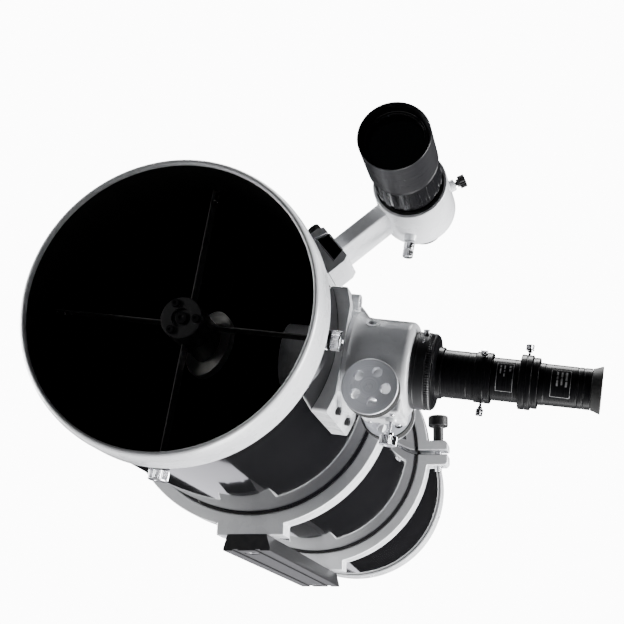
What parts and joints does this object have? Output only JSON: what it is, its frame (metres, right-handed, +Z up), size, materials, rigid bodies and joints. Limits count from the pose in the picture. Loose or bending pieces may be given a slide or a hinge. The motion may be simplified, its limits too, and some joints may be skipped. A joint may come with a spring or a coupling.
{
  "type": "newtonian reflector telescope",
  "caption": "Newtonian reflector optical tube in two hinged rings on a dovetail bar, with side focuser, Barlow and eyepiece, spider and mirrors, and a finder scope.",
  "frame": {"origin": "centre of the dovetail bar's flat underside", "axes": "+Y back along the tube's axis from its open front, +X towards the focuser's side, +Z up from the bar to the tube"},
  "size_m": [0.4635, 0.845, 0.3161],
  "materials": {
    "white_casting": "white gloss paint on an aluminium casting",
    "tube_paint": "high gloss black paint outside, matte black inside",
    "finder_paint": "gloss black",
    "black_anodised": "satin black anodised",
    "knob_plastic": "satin, knurled",
    "eyecup_rubber": "matte",
    "bright_steel": "bright plated",
    "brushed_aluminium": "turned and anodised",
    "coated_glass": "coated lens",
    "mirror_glass": "front-aluminised mirror"
  },
  "bodies": {
    "cradle": {"dovetail_bar": "black_anodised", "foot_bolt_front": "bright_steel", "foot_bolt_rear": "bright_steel", "ring_front_lower": "white_casting", "ring_rear_lower": "white_casting", "hinge_pin_front": "bright_steel", "hinge_pin_rear": "bright_steel"},
    "ring_front_upper": {"ring_front_upper": "white_casting"},
    "ring_rear_upper": {"ring_rear_upper": "white_casting"},
    "clamp_front": {"clamp_bolt_front": "bright_steel", "clamp_knob_front": "knob_plastic"},
    "clamp_rear": {"clamp_bolt_rear": "bright_steel", "clamp_knob_rear": "knob_plastic"},
    "tube": {"tube": "tube_paint", "trim_ring": "white_casting", "rear_ring": "white_casting", "spider_hub": "black_anodised", "vane_1": "bright_steel", "vane_2": "bright_steel", "vane_3": "bright_steel", "vane_4": "bright_steel", "vane_nut_1": "bright_steel", "vane_nut_2": "bright_steel", "vane_nut_3": "bright_steel", "vane_nut_4": "bright_steel", "focuser_base": "white_casting", "focuser_housing": "white_casting", "finder_shoe": "white_casting"},
    "drawtube": {"drawtube": "brushed_aluminium", "drawtube_collar": "black_anodised"},
    "focus_drive": {"pinion_shaft": "bright_steel", "focus_knob_front": "brushed_aluminium", "focus_knob_rear": "brushed_aluminium"},
    "tension_screw": {"tension_screw": "bright_steel"},
    "adapter": {"eyepiece_adapter": "black_anodised"},
    "adapter_screw": {"adapter_screw": "bright_steel"},
    "barlow": {"barlow_barrel": "black_anodised"},
    "barlow_screw": {"barlow_screw": "bright_steel"},
    "eyepiece": {"eyepiece_body": "black_anodised", "eyecup": "eyecup_rubber"},
    "shoe_screw": {"shoe_screw": "knob_plastic"},
    "bracket": {"finder_bracket": "white_casting"},
    "finder": {"finder_tube": "finder_paint", "finder_eyepiece": "black_anodised"},
    "finder_screw_1": {"finder_screw_1": "knob_plastic"},
    "finder_screw_2": {"finder_screw_2": "knob_plastic"},
    "finder_plunger": {"finder_plunger": "bright_steel"},
    "finder_lock_ring": {"finder_lock_ring": "black_anodised"},
    "finder_cell": {"finder_cell": "black_anodised", "finder_lens": "coated_glass"},
    "secondary": {"secondary_holder": "black_anodised", "secondary_mirror": "mirror_glass"},
    "secondary_screw_1": {"secondary_screw_1": "bright_steel"},
    "secondary_screw_2": {"secondary_screw_2": "bright_steel"},
    "secondary_screw_3": {"secondary_screw_3": "bright_steel"},
    "primary": {"primary_mirror": "mirror_glass", "mirror_cell": "black_anodised"},
    "cell_knob_1": {"cell_knob_1": "bright_steel"},
    "cell_knob_2": {"cell_knob_2": "bright_steel"},
    "cell_knob_3": {"cell_knob_3": "bright_steel"}
  },
  "joints": [
    {"name": "tube_rotation", "type": "hinge", "parent": "cradle", "child": "tube", "pos_m": [0, 0, 0.1515], "axis": [0, 1, 0], "continuous": true},
    {"name": "ring_front_open", "type": "hinge", "parent": "cradle", "child": "ring_front_upper", "pos_m": [-0.1375, -0.145, 0.1495], "axis": [0, -1, 0], "range_deg": [0, 100]},
    {"name": "clamp_front_turn", "type": "hinge", "parent": "ring_front_upper", "child": "clamp_front", "pos_m": [0.14, -0.145, 0.1865], "axis": [0, 0, 1], "range_deg": [0, 1440]},
    {"name": "ring_rear_open", "type": "hinge", "parent": "cradle", "child": "ring_rear_upper", "pos_m": [-0.1375, 0.145, 0.1495], "axis": [0, -1, 0], "range_deg": [0, 100]},
    {"name": "clamp_rear_turn", "type": "hinge", "parent": "ring_rear_upper", "child": "clamp_rear", "pos_m": [0.14, 0.145, 0.1865], "axis": [0, 0, 1], "range_deg": [0, 1440]},
    {"name": "focus_slide", "type": "slide", "parent": "tube", "child": "drawtube", "axis": [0.9895, 0, -0.1444], "range_m": [0, 0.045]},
    {"name": "focus_turn", "type": "hinge", "parent": "tube", "child": "focus_drive", "pos_m": [0.14273, -0.3032, 0.10117], "axis": [0, 1, 0], "range_deg": [0, 960]},
    {"name": "tension_screw_turn", "type": "hinge", "parent": "tube", "child": "tension_screw", "pos_m": [0.14988, -0.3032, 0.07052], "axis": [-0.1444, 0, -0.9895], "range_deg": [-360, 360]},
    {"name": "adapter_slide", "type": "slide", "parent": "drawtube", "child": "adapter", "axis": [0.9895, 0, -0.1444], "range_m": [0, 0.014]},
    {"name": "adapter_screw_turn", "type": "hinge", "parent": "adapter", "child": "adapter_screw", "pos_m": [0.22221, -0.3032, 0.0918], "axis": [-0.1444, 0, -0.9895], "range_deg": [0, 720]},
    {"name": "barlow_slide", "type": "slide", "parent": "adapter", "child": "barlow", "axis": [0.9895, 0, -0.1444], "range_m": [0, 0.028]},
    {"name": "barlow_screw_turn", "type": "hinge", "parent": "barlow", "child": "barlow_screw", "pos_m": [0.26315, -0.3032, 0.1404], "axis": [0.1444, 0, 0.9895], "range_deg": [0, 720]},
    {"name": "eyepiece_slide", "type": "slide", "parent": "barlow", "child": "eyepiece", "axis": [0.9895, 0, -0.1444], "range_m": [0, 0.028]},
    {"name": "shoe_screw_turn", "type": "hinge", "parent": "tube", "child": "shoe_screw", "pos_m": [0.08604, -0.2985, 0.25172], "axis": [-0.6157, 0, 0.788], "range_deg": [0, 1080]},
    {"name": "bracket_slide", "type": "slide", "parent": "tube", "child": "bracket", "axis": [0, -1, 0], "range_m": [0, 0.06]},
    {"name": "finder_tilt", "type": "hinge", "parent": "bracket", "child": "finder", "pos_m": [0.16903, -0.3135, 0.28356], "axis": [0.3746, 0, -0.9272], "range_deg": [-1.5, 1.5]},
    {"name": "finder_screw_1_travel", "type": "slide", "parent": "bracket", "child": "finder_screw_1", "axis": [0.9272, 0, 0.3746], "range_m": [-0.001, 0.001]},
    {"name": "finder_screw_2_travel", "type": "slide", "parent": "bracket", "child": "finder_screw_2", "axis": [-0.788, 0, 0.6157], "range_m": [-0.0006, 0.0006]},
    {"name": "finder_plunger_travel", "type": "slide", "parent": "bracket", "child": "finder_plunger", "axis": [-0.1392, 0, -0.9903], "range_m": [-0.0006, 0.0006]},
    {"name": "finder_lock_ring_turn", "type": "hinge", "parent": "finder", "child": "finder_lock_ring", "pos_m": [0.16903, -0.3431, 0.28356], "axis": [0, 1, 0], "range_deg": [-180, 180]},
    {"name": "finder_cell_turn", "type": "hinge", "parent": "finder", "child": "finder_cell", "pos_m": [0.16903, -0.384, 0.28356], "axis": [0, 1, 0], "range_deg": [-360, 360]},
    {"name": "secondary_rotation", "type": "hinge", "parent": "tube", "child": "secondary", "pos_m": [0, -0.3032, 0.1515], "axis": [0, 1, 0], "range_deg": [-30, 30]},
    {"name": "secondary_screw_1_turn", "type": "hinge", "parent": "tube", "child": "secondary_screw_1", "pos_m": [0.01237, -0.3735, 0.1497], "axis": [0, 1, 0], "range_deg": [-360, 360]},
    {"name": "secondary_screw_2_turn", "type": "hinge", "parent": "tube", "child": "secondary_screw_2", "pos_m": [-0.00775, -0.3735, 0.14169], "axis": [0, 1, 0], "range_deg": [-360, 360]},
    {"name": "secondary_screw_3_turn", "type": "hinge", "parent": "tube", "child": "secondary_screw_3", "pos_m": [-0.00462, -0.3735, 0.16311], "axis": [0, 1, 0], "range_deg": [-360, 360]},
    {"name": "mirror_tilt", "type": "hinge", "parent": "tube", "child": "primary", "pos_m": [0, 0.3885, 0.1515], "axis": [1, 0, 0], "range_deg": [-0.5, 0.5]},
    {"name": "cell_knob_1_turn", "type": "hinge", "parent": "tube", "child": "cell_knob_1", "pos_m": [0, 0.4065, 0.2435], "axis": [0, 1, 0], "range_deg": [-300, 300]},
    {"name": "cell_knob_2_turn", "type": "hinge", "parent": "tube", "child": "cell_knob_2", "pos_m": [0.07967, 0.4065, 0.1055], "axis": [0, 1, 0], "range_deg": [-300, 300]},
    {"name": "cell_knob_3_turn", "type": "hinge", "parent": "tube", "child": "cell_knob_3", "pos_m": [-0.07967, 0.4065, 0.1055], "axis": [0, 1, 0], "range_deg": [-300, 300]}
  ],
  "couplings": [
    {"joint": "focus_turn", "follows": "focus_slide", "rad_per_m": 370.37},
    {"joint": "finder_screw_1_travel", "follows": "finder_tilt", "m_per_rad": 0.034},
    {"joint": "finder_screw_2_travel", "follows": "finder_tilt", "m_per_rad": -0.017},
    {"joint": "finder_plunger_travel", "follows": "finder_tilt", "m_per_rad": -0.017},
    {"joint": "cell_knob_1_turn", "follows": "mirror_tilt", "ratio": 578.05},
    {"joint": "cell_knob_2_turn", "follows": "mirror_tilt", "ratio": -289.03},
    {"joint": "cell_knob_3_turn", "follows": "mirror_tilt", "ratio": -289.03}
  ]
}
